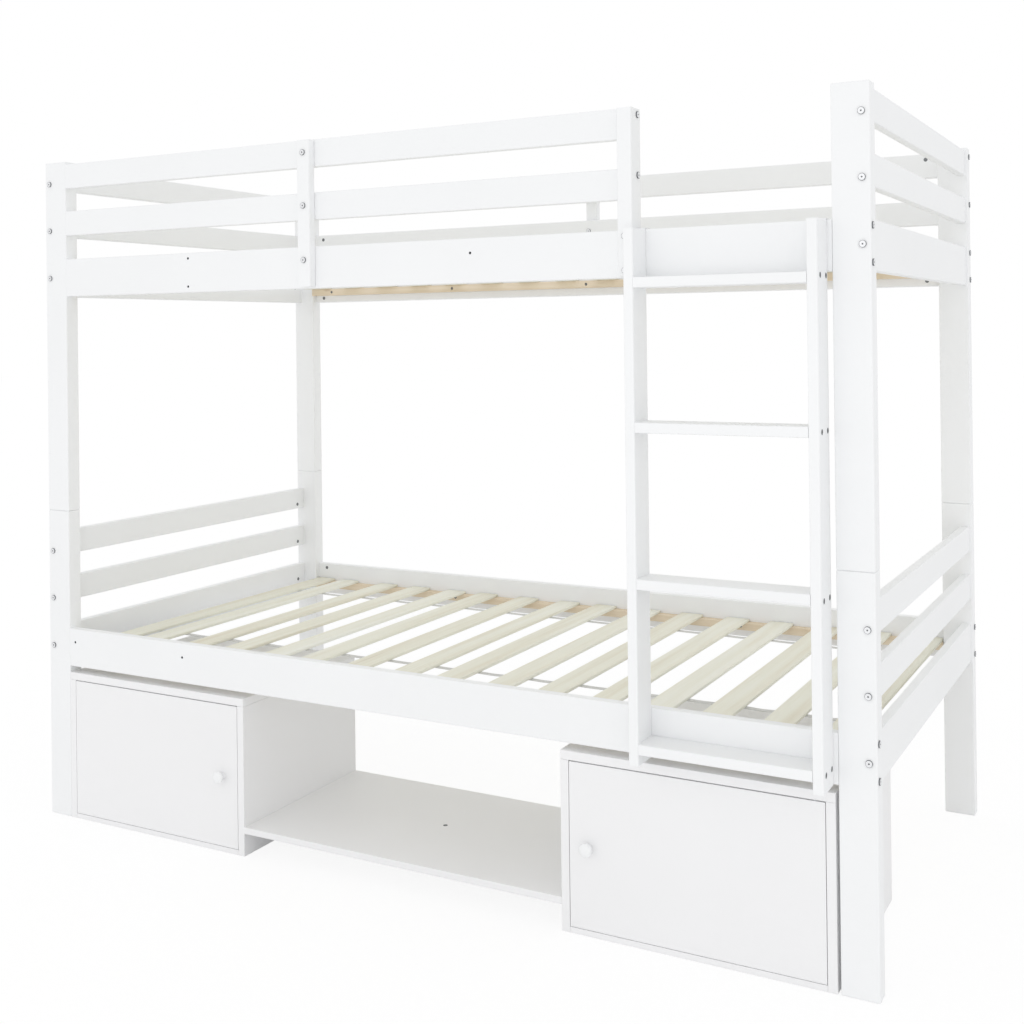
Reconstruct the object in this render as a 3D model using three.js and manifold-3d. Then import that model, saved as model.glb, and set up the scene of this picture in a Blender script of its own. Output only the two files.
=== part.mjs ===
// A painted timber bunk bed with a fixed ladder, two floor cupboards and a low shelf between them.
// Millimetres. +Z is up, +X runs towards the ladder end and -Y is the front, where the ladder stands.
// The origin is on the floor, under the middle of the whole bed's box.

import * as THREE from 'three';
import { mergeVertices } from 'three/addons/utils/BufferGeometryUtils.js';
import Module from 'manifold-3d';

const wasm = await Module();
wasm.setup();

// Frame timber: 70 by 35 posts, 20 thick boards.
const bedLength = 2060;
const bedWidth = 980;
const postWidth = 70;
const postDepth = 35;
const postEdge = 2;
const boardThickness = 20;
const boardEdge = 2;
const boardHeight = 60;
const railHeight = 92;
const endSetback = 5;

// Heights. Each bunk has a deep rail with two boards above it, at the same spacing.
const lowerRailRise = 371;
const midBoardRise = 150;
const topBoardRise = 266;
const lowerPostCrown = 54;
const upperRailSeat = 528.5;
const upperPostCrown = 6.5;

// Uprights that tie the guard boards to the deep rails.
const uprightThickness = 20;
const frontUprightWidth = 33.5;
const frontUprightOffset = 204.5;
const gateUprightWidth = 30.5;
const gateUprightShoulder = 4;
const uprightDrop = 2.5;
const uprightFootRise = 3.5;

// Slatted bases: loose slats on a pine ledger, held at their spacing by two webbing straps.
const ledgerSize = 20;
const ledgerRise = 21;
const slatCount = 16;
const slatWidth = 61.5;
const slatThickness = 7;
const slatEndGap = 2;
const slatPostGap = 2;
const strapWidth = 15;
const strapThickness = 1;
const strapSink = 0.5;
const frontStrapPlace = -250;
const backStrapPlace = 300;
const strapEndMargin = 5;

// How far each lower slat has crept towards the left, as a share of the gap between two slats.
const lowerSlatCreepShares = [0, 0.53, 0.175, 0.27, 0.24, 0.475, 0.295, 0.155, 0.305, 0.165, 0.16, 0.065,
  0.125, 0.11, 0.05, 0];

// Ladder.
const ladderWidth = 370.5;
const ladderPostGap = 8.5;
const stileThickness = 20;
const stileDepth = 63;
const ladderTopDrop = 1.5;
const rungThickness = 20;
const rungTopShares = [0.0405, 0.347, 0.638, 0.908];
const rungScrewHeadRadius = 5.5;
const hookWidth = 18;
const hookPlate = 2.5;
const hookDrop = 26;

// Cupboards and shelf.
const cupboardWidth = 551.5;
const cupboardDepth = 412;
const cupboardHeadroom = 15;
const panelThickness = 18;
const floorPanelThickness = 12;
const backPanelThickness = 5;
const doorTopGap = 1.8;
const doorFootGap = 0.8;
const doorFreeGap = 1.1;
const doorHingeGap = 1;
const cupboardPostGap = 5.7;
const shelfThickness = 15;
const shelfRise = 51.5;
const shelfFootSize = 40;
const knobRadius = 14;
const knobNeckRadius = 6.5;
const knobProud = 22;
const knobHeightShares = [0.4, 0.65, 0.85];
const knobFaceShare = 0.6;
const knobInset = 43;
const pivotSetback = 20;
const pivotCover = 5;
const catchLength = 44;
const catchDepth = 14;
const catchHeight = 12;
const catchInset = 60;

// Fasteners.
const boltRadius = 3;
const boltHeadRadius = 6.5;
const boltHeadHeight = 2.5;
const nutRadius = 5;
const nutRecess = 1;
const nutSetback = 31;
const screwRadius = 2;
const screwHeadRadius = 4;
const screwRecess = 1;
const screwBite = 12;
const screwHeadHeight = 2;
const ladderBoltBite = 38;
const ledgerScrewCount = 5;
const dowelRadius = 4;
const dowelBite = 15;
const shallowBite = 10;
const postPinRadius = 6;
const postPinBite = 40;
const pivotRadius = 2.5;
const pivotBite = 10;
const spareHoleRadius = 3;
const spareHoleDepth = 12;
const spareUprightOffset = 208.5;
const spareGateOffset = 559.5;
const fitGap = 0.3;
const weldShare = 0.001;
const overrun = 5;
const boltFacets = 8;
const hiddenFacets = 6;
const pivotFacets = 12;
const knobFacets = 16;

// Where bolts sit on the boards, as shares of the board's height.
const endBoardBoltShare = 0.22;
const sideBoardBoltShare = 0.77;
const railBoltShares = [0.15, 0.86];
const railCentreShare = 0.5;
const uprightRailBoltShare = 0.67;
const uprightBoardBoltShare = 0.5;
const ladderBoltShare = 0.65;
const rungScrewShares = [0.27, 0.84];
const rungScrewRiseShares = [0.5, 0.32, 0.48, 0.68];
const ledgerScrewPitchShare = 0.23;
const dowelShares = [0.15, 0.85];

// Places that follow from those sizes.
const halfLength = bedLength / 2;
const halfWidth = bedWidth / 2;
const postInner = halfLength - postWidth;
const postInnerFace = halfWidth - postDepth;
const boardInnerFace = halfWidth - boardThickness;
const sideBoltLine = halfWidth - boardThickness / 2;
const endBoltLine = halfLength - endSetback - boardThickness / 2;
const endInnerFace = halfLength - endSetback - boardThickness;
const lowerPostTop = lowerRailRise + topBoardRise + boardHeight + lowerPostCrown;
const upperRailRise = lowerPostTop + upperRailSeat;
const upperPostTop = upperRailRise + topBoardRise + boardHeight + upperPostCrown;
const guardTop = upperRailRise + topBoardRise + boardHeight;
const ladderLeft = postInner - ladderPostGap - ladderWidth;
const ladderFoot = lowerRailRise;
const ladderTop = upperRailRise + railHeight - ladderTopDrop;
const hookFoot = upperRailRise + railHeight - hookDrop;
const gateUprightRight = ladderLeft;
const gateUprightLeft = gateUprightRight - gateUprightWidth;
const cupboardTop = lowerRailRise - cupboardHeadroom;
const cupboardBack = cupboardDepth - halfWidth;
const shelfLength = 2 * (postInner - cupboardWidth) - fitGap - cupboardPostGap;
const frontReach = halfWidth + stileDepth;
const backReach = halfWidth + uprightThickness + boltHeadHeight;
const bunks = { lower: lowerRailRise, upper: upperRailRise };
const sides = { front: -1, back: 1 };
const ends = { left: -1, right: 1 };

// Finishes.
const finishes = {
  paint: { color: 0xf3f4f6, roughness: 0.45, metalness: 0 },
  board: { color: 0xf1f2f4, roughness: 0.5, metalness: 0 },
  pine: { color: 0xd2b98f, roughness: 0.7, metalness: 0 },
  slat: { color: 0xdcdcc8, roughness: 0.7, metalness: 0 },
  steel: { color: 0xb4b7ba, roughness: 0.35, metalness: 1 },
};

// The two axes across each axis, in right-handed order.
const across = { x: ['y', 'z'], y: ['z', 'x'], z: ['x', 'y'] };
const unit = {
  x: new THREE.Vector3(1, 0, 0),
  y: new THREE.Vector3(0, 1, 0),
  z: new THREE.Vector3(0, 0, 1),
};
const middle = ([low, high]) => (low + high) / 2;
const sorted = (a, b) => [Math.min(a, b), Math.max(a, b)];
const about = (centre, width) => [centre - width / 2, centre + width / 2];

// Turns a closed three.js geometry into a solid, dropping the empty triangles at a lathe's poles.
function solidOf(geometry) {
  const bare = geometry.clone();
  bare.deleteAttribute('normal');
  bare.deleteAttribute('uv');
  const merged = mergeVertices(bare, weldShare * fitGap);
  const corners = merged.index.array;
  const kept = [];
  for (let i = 0; i < corners.length; i += 3) {
    const [a, b, c] = [corners[i], corners[i + 1], corners[i + 2]];
    if (a !== b && b !== c && c !== a) kept.push(a, b, c);
  }
  const vertProperties = new Float32Array(merged.attributes.position.array);
  return new wasm.Manifold(new wasm.Mesh({ numProp: 3, vertProperties, triVerts: new Uint32Array(kept) }));
}

// Lays a geometry made along Z in its place: its own axes turn to u, v and the given axis.
function laid(geometry, axis, box) {
  const [u, v] = across[axis];
  const turn = new THREE.Matrix4().makeBasis(unit[u], unit[v], unit[axis]);
  turn.setPosition(middle(box.x), middle(box.y), middle(box.z));
  return geometry.applyMatrix4(turn);
}

// A planed bar filling a box, with chamfered long edges and, on posts, chamfered ends as well.
function bar(box, axis, edge, endEdge = 0) {
  const [u, v] = across[axis].map((name) => (box[name][1] - box[name][0]) / 2);
  const length = box[axis][1] - box[axis][0];
  const corners = [[u - edge, -v], [u, edge - v], [u, v - edge], [u - edge, v],
    [edge - u, v], [-u, v - edge], [-u, edge - v], [edge - u, -v]];
  const geometry = new THREE.ExtrudeGeometry(new THREE.Shape(corners.map((at) => new THREE.Vector2(...at))), {
    depth: length - 2 * endEdge, bevelEnabled: endEdge > 0, bevelSegments: 1,
    bevelThickness: endEdge, bevelSize: endEdge, bevelOffset: -endEdge,
  });
  return solidOf(laid(geometry.translate(0, 0, endEdge - length / 2), axis, box));
}

// A plain panel filling a box.
function panel(box) {
  const size = ['x', 'y', 'z'].map((axis) => box[axis][1] - box[axis][0]);
  const geometry = new THREE.BoxGeometry(...size);
  return solidOf(geometry.translate(middle(box.x), middle(box.y), middle(box.z)));
}

// A round bar: one of the place's coordinates is a span, the other two are its centre.
function rod(place, radius, sides = hiddenFacets) {
  const axis = ['x', 'y', 'z'].find((name) => Array.isArray(place[name]));
  const box = {};
  for (const name of ['x', 'y', 'z']) box[name] = name === axis ? place[name] : [place[name], place[name]];
  const geometry = new THREE.CylinderGeometry(radius, radius, place[axis][1] - place[axis][0], sides);
  return solidOf(laid(geometry.rotateX(Math.PI / 2), axis, box));
}

// A turned piece: its outline is [radius, height] pairs, with height measured from `seat` along `axis`.
function turned(outline, seat, axis, way, sides = boltFacets) {
  const geometry = new THREE.LatheGeometry(outline.map((at) => new THREE.Vector2(...at)), sides);
  const turn = new THREE.Quaternion().setFromUnitVectors(unit.y, unit[axis].clone().multiplyScalar(way));
  return solidOf(geometry.applyQuaternion(turn).translate(seat.x, seat.y, seat.z));
}

const joined = (solids) => solids.reduce((whole, next) => whole.add(next));

// A span along one axis, from one distance to another behind or before a seat.
function span(seat, axis, way, from, to) {
  return { ...seat, [axis]: sorted(seat[axis] + way * from, seat[axis] + way * to) };
}

// A bolt, screw, pin or dowel is one body with the piece that it is fixed in, its owner. Every other
// piece that it runs into is bored for it, with a clearance, so the joints slide together as real ones do.
const fixings = [];
const bores = [];

function bore(owner, place, radius, sides = hiddenFacets) {
  bores.push({ owner, tool: rod(place, radius, sides) });
}

function fitted(name, solid) {
  const box = solid.boundingBox();
  const meets = ({ min, max }) => [0, 1, 2].every((i) => max[i] > box.min[i] && min[i] < box.max[i]);
  const cuts = bores.filter(({ owner, tool }) => owner !== name && meets(tool.boundingBox()));
  const own = fixings.filter(({ owner }) => owner === name);
  const bored = cuts.reduce((left, { tool }) => left.subtract(tool), solid);
  return joined([bored, ...own.map((fixing) => fixing.solid)]);
}

// A bolt whose head sits on `seat` and faces along `axis` times `way`; its shank runs `reach` into the wood.
function bolt(owner, seat, axis, way, reach) {
  const outline = [[0, -reach], [boltRadius, -reach], [boltRadius, 0], [boltHeadRadius, 0],
    [boltHeadRadius, boltHeadHeight], [0, boltHeadHeight]];
  fixings.push({ owner, solid: turned(outline, seat, axis, way) });
  bore(owner, span(seat, axis, way, 0, -reach - fitGap), boltRadius + fitGap, boltFacets);
}

// A bolt into a barrel nut, which lies across the board and ends a little under the board's inner face.
function barrelBolt(owner, seat, axis, way, reach, nutAxis, innerFace) {
  bolt(owner, seat, axis, way, reach);
  const nut = { ...seat, [axis]: seat[axis] - way * reach, [nutAxis]: innerFace };
  bore(null, span(nut, nutAxis, Math.sign(innerFace), -overrun, nutRecess), nutRadius);
}

// A bolt right through two pieces into a sleeve nut, whose head sits on the far face.
function sleeveBolt(owner, seat, axis, way, thickness) {
  const outline = [[0, -thickness - boltHeadHeight], [boltHeadRadius, -thickness - boltHeadHeight],
    [boltHeadRadius, -thickness], [boltRadius, -thickness], [boltRadius, 0], [boltHeadRadius, 0],
    [boltHeadRadius, boltHeadHeight], [0, boltHeadHeight]];
  fixings.push({ owner, solid: turned(outline, seat, axis, way) });
  bore(owner, span(seat, axis, way, 0, -thickness - overrun), boltRadius + fitGap, boltFacets);
}

// A wood screw, let in below the face of the first piece. Either of the pieces that it joins can own it.
function screw(owner, seat, axis, way, thickness, headRadius = screwHeadRadius) {
  const reach = thickness + screwBite;
  fixings.push({ owner, solid: rod(span(seat, axis, way, -screwRecess, -reach), screwRadius) });
  bore(owner, span(seat, axis, way, 0, -reach - fitGap), screwRadius + fitGap);
  bore(null, span(seat, axis, way, overrun, -screwRecess), headRadius, boltFacets);
}

// A dowel that goes `within` its owner and `into` its neighbour, which meet at `seat`; `way` points there.
function dowel(owner, seat, axis, way, within, into, radius = dowelRadius, sides = hiddenFacets) {
  fixings.push({ owner, solid: rod(span(seat, axis, way, -within, into), radius, sides) });
  bore(owner, span(seat, axis, way, 0, into + fitGap), radius + fitGap, sides);
}

// Holes drilled for building the bed the other way round, with the ladder at the left.
function spareHole(x, z) {
  bore(null, { x, y: [-halfWidth - overrun, spareHoleDepth - halfWidth], z }, spareHoleRadius);
}

const endBoardLevels = [
  ['rail', 0, railHeight, railCentreShare],
  ['mid_board', midBoardRise, boardHeight, endBoardBoltShare],
  ['top_board', topBoardRise, boardHeight, endBoardBoltShare],
];
const guardLevels = { mid: midBoardRise, top: topBoardRise };

// Fixings at one post: two bolts into the deep side rail, one into each end board, and any guard bolts.
// Each bolt is one body with the board that its nut is in, and runs through the post with a clearance.
function postFixings(bunk, sideName, endName) {
  const [base, side, end] = [bunks[bunk], sides[sideName], ends[endName]];
  const intoSide = (board, z) => {
    const seat = { x: end * halfLength, y: side * sideBoltLine, z };
    barrelBolt(board, seat, 'x', end, postWidth + nutSetback, 'y', side * boardInnerFace);
  };
  for (const share of railBoltShares) intoSide(`${bunk}_${sideName}_rail`, base + share * railHeight);
  for (const [level, rise, height, share] of endBoardLevels) {
    const board = `${bunk}_${endName}_${level}`;
    const seat = { x: end * endBoltLine, y: side * halfWidth, z: base + rise + share * height };
    barrelBolt(board, seat, 'y', side, postDepth + nutSetback, 'x', end * endInnerFace);
  }
  if (bunk === 'upper' && (sideName === 'back' || endName === 'left')) {
    for (const [level, rise] of Object.entries(guardLevels)) {
      intoSide(`${sideName}_guard_${level}`, base + rise + sideBoardBoltShare * boardHeight);
    }
  }
  if (bunk === 'lower') {
    const seat = {
      x: end * (halfLength - postWidth / 2),
      y: side * (halfWidth - postDepth / 2),
      z: lowerPostTop,
    };
    dowel(`lower_post_${sideName}_${endName}`, seat, 'z', 1, postPinBite, postPinBite, postPinRadius);
  }
}

// Uprights: sleeve bolts through the boards, and barrel bolts from the gate upright into the guards.
const tongueCentre = (gateUprightLeft + gateUprightRight) / 2;

function uprightFixings() {
  const thickness = uprightThickness + boardThickness;
  const front = -halfWidth - uprightThickness;
  const rises = [uprightRailBoltShare * railHeight,
    ...Object.values(guardLevels).map((rise) => rise + uprightBoardBoltShare * boardHeight)];
  for (const rise of rises) {
    const z = upperRailRise + rise;
    sleeveBolt('front_upright', { x: -frontUprightOffset, y: front, z }, 'y', -1, thickness);
    sleeveBolt('back_upright', { x: 0, y: -front, z }, 'y', 1, thickness);
  }
  spareHole(spareUprightOffset, upperRailRise + rises[0]);
  for (const share of railBoltShares) {
    const z = upperRailRise + share * railHeight;
    sleeveBolt('gate_upright', { x: tongueCentre, y: front, z }, 'y', -1, thickness);
    spareHole(-spareGateOffset, z);
  }
  for (const [level, rise] of Object.entries(guardLevels)) {
    const z = upperRailRise + rise + sideBoardBoltShare * boardHeight;
    const seat = { x: gateUprightRight, y: -sideBoltLine, z };
    const reach = gateUprightWidth + nutSetback;
    barrelBolt(`front_guard_${level}`, seat, 'x', 1, reach, 'y', -boardInnerFace);
  }
}

// Ladder: a bolt from inside the lower rail into each stile, two screws at each rung end, one in each hook.
const stileCentres = {
  left: ladderLeft + stileThickness / 2,
  right: ladderLeft + ladderWidth - stileThickness / 2,
};
const rungTops = rungTopShares.map((share) => ladderFoot + share * (ladderTop - ladderFoot));

function ladderFixings() {
  for (const [name, x] of Object.entries(stileCentres)) {
    const z = lowerRailRise + ladderBoltShare * railHeight;
    const boltSeat = { x, y: -boardInnerFace, z };
    bolt(`ladder_stile_${name}`, boltSeat, 'y', 1, boardThickness + ladderBoltBite);
    spareHole(-x, z);
    const way = ends[name];
    for (const [i, top] of rungTops.entries()) {
      for (const share of rungScrewShares) {
        const seat = {
          x: x + way * stileThickness / 2,
          y: share * stileDepth - frontReach,
          z: top + (rungScrewRiseShares[i] - 1) * rungThickness,
        };
        screw(`ladder_rung_${i + 1}`, seat, 'x', way, stileThickness, rungScrewHeadRadius);
      }
    }
    const hookSeat = { x, y: -halfWidth - hookPlate, z: ladderTop - hookDrop / 2 };
    dowel(`ladder_hook_${name}`, hookSeat, 'y', -1, hookPlate / 2, screwBite, screwRadius);
  }
}

function ledgerFixings(bunk, sideName) {
  const side = sides[sideName];
  for (let i = 0; i < ledgerScrewCount; i += 1) {
    const seat = {
      x: (i - (ledgerScrewCount - 1) / 2) * ledgerScrewPitchShare * 2 * postInner,
      y: side * (boardInnerFace - ledgerSize),
      z: bunks[bunk] + ledgerRise + ledgerSize / 2,
    };
    screw(`${bunk}_${sideName}_ledger`, seat, 'y', -side, ledgerSize);
  }
}

// Cupboards: the left one stands against the left post, then comes the shelf, then the right one. The
// shelf takes up what the two cupboards and their gaps to the posts leave free.
const leftCupboardStart = fitGap - postInner;
const shelfStart = leftCupboardStart + cupboardWidth;
const cupboards = {
  left: { start: leftCupboardStart, hinge: -1 },
  right: { start: shelfStart + shelfLength, hinge: 1 },
};
const underTop = cupboardTop - panelThickness;
const doorBottom = floorPanelThickness + doorFootGap;
const doorTop = underTop - doorTopGap;
const doorBack = panelThickness - halfWidth;
const dowelPlaces = dowelShares.map((share) => share * cupboardDepth - halfWidth);

// What one cupboard's panels, door and fittings share. `hinge` is the side that its door turns on.
function cupboardPlan({ start, hinge }) {
  const end = start + cupboardWidth;
  const inside = [start + panelThickness, end - panelThickness];
  const [hingeSide, freeSide] = hinge < 0 ? inside : [inside[1], inside[0]];
  const hingeEdge = hingeSide - hinge * doorHingeGap;
  const freeEdge = freeSide + hinge * doorFreeGap;
  return {
    start, end, inside,
    doorSpan: sorted(hingeEdge, freeEdge),
    pivotX: hingeEdge - hinge * pivotSetback,
    knobX: freeEdge + hinge * knobInset,
    catchSpan: about(freeEdge + hinge * catchInset, catchLength),
  };
}

const plans = { left: cupboardPlan(cupboards.left), right: cupboardPlan(cupboards.right) };

// Dowels tie the floor to the sides and the sides to the top. Two steel pins in the door turn in bores.
function cupboardFixings(name, { inside, pivotX }) {
  const inner = { left: inside[0], right: inside[1] };
  for (const [side, way] of Object.entries(ends)) {
    for (const y of dowelPlaces) {
      const floorSeat = { x: inner[side], y, z: floorPanelThickness / 2 };
      dowel(`${name}_cupboard_floor`, floorSeat, 'x', way, dowelBite, shallowBite);
      const topSeat = { x: inner[side] + way * panelThickness / 2, y, z: underTop };
      dowel(`${name}_cupboard_side_${side}`, topSeat, 'z', 1, dowelBite, shallowBite);
    }
  }
  for (const [z, way, gap] of [[doorBottom, -1, doorFootGap], [doorTop, 1, doorTopGap]]) {
    const seat = { x: pivotX, y: pivotCover - halfWidth, z };
    dowel(`${name}_door`, seat, 'z', way, pivotBite, gap + pivotBite, pivotRadius, pivotFacets);
  }
}

function shelfFixings() {
  for (const y of dowelPlaces) {
    const seat = { y, z: shelfRise + shelfThickness / 2 };
    dowel('shelf', { ...seat, x: shelfStart }, 'x', -1, dowelBite, shallowBite);
    dowel('shelf', { ...seat, x: shelfStart + shelfLength }, 'x', 1, dowelBite, shallowBite);
  }
}

// Pieces. Each goes into the bed by its name, with the finish that it is drawn in.
const bed = new THREE.Group();
bed.position.set(0, (frontReach - backReach) / 2, 0);

function piece(name, solid, finish) {
  const { numProp, vertProperties, triVerts } = fitted(name, solid).getMesh();
  const geometry = new THREE.BufferGeometry();
  const corners = new THREE.InterleavedBuffer(vertProperties, numProp);
  geometry.setAttribute('position', new THREE.InterleavedBufferAttribute(corners, 3, 0));
  geometry.setIndex(new THREE.BufferAttribute(triVerts, 1));
  geometry.computeVertexNormals();
  const material = new THREE.MeshStandardMaterial({ ...finishes[finish], name: finish });
  const mesh = new THREE.Mesh(geometry, material);
  mesh.name = name;
  bed.add(mesh);
}

function post(bunk, sideName, endName) {
  const [side, end] = [sides[sideName], ends[endName]];
  const box = {
    x: sorted(end * postInner, end * halfLength),
    y: sorted(side * postInnerFace, side * halfWidth),
    z: bunk === 'lower' ? [0, lowerPostTop] : [lowerPostTop, upperPostTop],
  };
  piece(`${bunk}_post_${sideName}_${endName}`, bar(box, 'z', postEdge, postEdge), 'paint');
}

function endBoards(bunk, endName) {
  const base = bunks[bunk];
  for (const [level, rise, height] of endBoardLevels) {
    const box = {
      x: sorted(ends[endName] * endInnerFace, ends[endName] * (endInnerFace + boardThickness)),
      y: [-postInnerFace, postInnerFace],
      z: [base + rise, base + rise + height],
    };
    piece(`${bunk}_${endName}_${level}`, bar(box, 'y', boardEdge), 'paint');
  }
}

// A board along one side of the bed, from the left post to `stop`.
function sideBoard(name, sideName, stop, foot, height) {
  const side = sides[sideName];
  const y = sorted(side * boardInnerFace, side * halfWidth);
  piece(name, bar({ x: [-postInner, stop], y, z: [foot, foot + height] }, 'x', boardEdge), 'paint');
}

function ledger(bunk, sideName) {
  const side = sides[sideName];
  const foot = bunks[bunk] + ledgerRise;
  const box = {
    x: [fitGap - postInner, postInner - fitGap],
    y: sorted(side * (boardInnerFace - ledgerSize), side * boardInnerFace),
    z: [foot, foot + ledgerSize],
  };
  piece(`${bunk}_${sideName}_ledger`, panel(box), 'pine');
}

// Slats stapled to two straps, so that they roll up as one. Each is moved left by its share of the gap.
function slatRoll(bunk, creepShares) {
  const first = slatPostGap - postInner;
  const pitch = (-first - slatWidth - first) / (slatCount - 1);
  const rest = bunks[bunk] + ledgerRise + ledgerSize;
  const y = [slatEndGap - boardInnerFace, boardInnerFace - slatEndGap];
  const parts = [frontStrapPlace, backStrapPlace].map((place) => panel({
    x: [first + strapEndMargin, -first - strapEndMargin],
    y: about(place, strapWidth),
    z: [rest - strapThickness, rest + strapSink],
  }));
  for (let i = 0; i < slatCount; i += 1) {
    const left = first + i * pitch - (creepShares[i] ?? 0) * (pitch - slatWidth);
    parts.push(panel({ x: [left, left + slatWidth], y, z: [rest, rest + slatThickness] }));
  }
  piece(`${bunk}_slat_roll`, joined(parts), 'slat');
}

// Uprights. The gate upright stands on the deep rail, with a tongue that runs on down its front.
function uprights() {
  const z = [upperRailRise + uprightFootRise, guardTop - uprightDrop];
  const front = [-halfWidth - uprightThickness, -halfWidth];
  const back = [halfWidth, halfWidth + uprightThickness];
  const shoulder = gateUprightShoulder - boardInnerFace;
  const frontBox = { x: about(-frontUprightOffset, frontUprightWidth), y: front, z };
  piece('front_upright', bar(frontBox, 'z', boardEdge), 'paint');
  const backBox = { x: about(0, frontUprightWidth), y: back, z };
  piece('back_upright', bar(backBox, 'z', boardEdge), 'paint');
  const gateBox = { x: [gateUprightLeft, gateUprightRight], y: [front[0], shoulder], z };
  const whole = bar(gateBox, 'z', boardEdge);
  const notch = panel({
    x: about(tongueCentre, gateUprightWidth + overrun),
    y: [-halfWidth, shoulder + overrun],
    z: [z[0] - overrun, upperRailRise + railHeight],
  });
  piece('gate_upright', whole.subtract(notch), 'paint');
}

function ladder() {
  const y = [-frontReach, -halfWidth];
  for (const [name, x] of Object.entries(stileCentres)) {
    const box = { x: about(x, stileThickness), y, z: [ladderFoot, ladderTop] };
    const recess = panel({
      x: about(x, hookWidth + fitGap),
      y: [-halfWidth - hookPlate, overrun - halfWidth],
      z: [hookFoot - fitGap, ladderTop + overrun],
    });
    piece(`ladder_stile_${name}`, bar(box, 'z', boardEdge).subtract(recess), 'paint');
  }
  const x = [ladderLeft + stileThickness, ladderLeft + ladderWidth - stileThickness];
  rungTops.forEach((top, i) => {
    piece(`ladder_rung_${i + 1}`, bar({ x, y, z: [top - rungThickness, top] }, 'x', boardEdge), 'paint');
  });
}

// A bent steel hook at each stile: a leg let into the stile's back, bent over the rail and down behind it.
function ladderHook(name) {
  const x = about(stileCentres[name], hookWidth);
  const over = upperRailRise + railHeight;
  const z = [hookFoot, over + hookPlate];
  const behind = fitGap - boardInnerFace;
  const leg = panel({ x, y: [-halfWidth - hookPlate, -halfWidth], z });
  const strap = panel({ x, y: [-halfWidth - hookPlate, behind + hookPlate], z: [over, z[1]] });
  const lip = panel({ x, y: [behind, behind + hookPlate], z });
  piece(`ladder_hook_${name}`, joined([leg, strap, lip]), 'steel');
}

// The magnetic catch is one body with the top that it is screwed under.
function cupboardCase(name, { start, end, inside, catchSpan }) {
  const y = [-halfWidth, cupboardBack];
  const board = (part, box) => piece(`${name}_cupboard_${part}`, box, 'board');
  const catchBlock = panel({
    x: catchSpan,
    y: [doorBack + fitGap, doorBack + fitGap + catchDepth],
    z: [underTop - catchHeight, underTop + panelThickness / 2],
  });
  board('top', panel({ x: [start, end], y, z: [underTop, cupboardTop] }).add(catchBlock));
  board('side_left', panel({ x: [start, inside[0]], y, z: [0, underTop] }));
  board('side_right', panel({ x: [inside[1], end], y, z: [0, underTop] }));
  board('floor', panel({ x: inside, y, z: [0, floorPanelThickness] }));
  board('back', panel({
    x: inside,
    y: [cupboardBack - backPanelThickness, cupboardBack],
    z: [floorPanelThickness, underTop],
  }));
}

// The knob is a turned mushroom, drawn against the door by a screw from inside.
function knob(name, x) {
  const [neck, brim, crown] = knobHeightShares.map((share) => share * knobProud);
  const headBack = -panelThickness - screwHeadHeight;
  const outline = [[0, headBack], [screwHeadRadius, headBack], [screwHeadRadius, -panelThickness],
    [screwRadius, -panelThickness], [screwRadius, 0], [knobNeckRadius, 0], [knobNeckRadius, neck],
    [knobRadius, brim], [knobRadius, crown], [knobFaceShare * knobRadius, knobProud], [0, knobProud]];
  const seat = { x, y: -halfWidth, z: (doorBottom + doorTop) / 2 };
  bore(`${name}_knob`, span(seat, 'y', -1, 0, -panelThickness), screwRadius + fitGap, knobFacets);
  piece(`${name}_knob`, turned(outline, seat, 'y', -1, knobFacets), 'paint');
}

function door(name, { doorSpan, knobX }) {
  knob(name, knobX);
  const box = { x: doorSpan, y: [-halfWidth, doorBack], z: [doorBottom, doorTop] };
  piece(`${name}_door`, panel(box), 'board');
}

// The shelf has a small foot fixed under its middle.
function shelf() {
  const board = bar({
    x: [shelfStart, shelfStart + shelfLength],
    y: [-halfWidth, cupboardBack],
    z: [shelfRise, shelfRise + shelfThickness],
  }, 'x', boardEdge);
  const foot = panel({
    x: about(shelfStart + shelfLength / 2, shelfFootSize),
    y: about((cupboardBack - halfWidth) / 2, shelfFootSize),
    z: [0, shelfRise + shelfThickness / 2],
  });
  piece('shelf', board.add(foot), 'board');
}

// Every fixing is placed first, because a piece is bored for the fixings of all its neighbours.
for (const bunk of Object.keys(bunks)) {
  for (const side of Object.keys(sides)) {
    for (const end of Object.keys(ends)) postFixings(bunk, side, end);
    ledgerFixings(bunk, side);
  }
}
uprightFixings();
ladderFixings();
for (const [name, plan] of Object.entries(plans)) cupboardFixings(name, plan);
shelfFixings();

for (const [bunk, base] of Object.entries(bunks)) {
  for (const side of Object.keys(sides)) {
    for (const end of Object.keys(ends)) post(bunk, side, end);
    sideBoard(`${bunk}_${side}_rail`, side, postInner, base, railHeight);
    ledger(bunk, side);
  }
  for (const end of Object.keys(ends)) endBoards(bunk, end);
}
for (const [level, rise] of Object.entries(guardLevels)) {
  sideBoard(`front_guard_${level}`, 'front', gateUprightLeft, upperRailRise + rise, boardHeight);
  sideBoard(`back_guard_${level}`, 'back', postInner, upperRailRise + rise, boardHeight);
}
uprights();
slatRoll('lower', lowerSlatCreepShares);
slatRoll('upper', []);
ladder();
for (const name of Object.keys(stileCentres)) ladderHook(name);
for (const [name, plan] of Object.entries(plans)) {
  cupboardCase(name, plan);
  door(name, plan);
}
shelf();

export default bed;
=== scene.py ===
import math
import random

import bpy
from mathutils import Matrix, Vector


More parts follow.
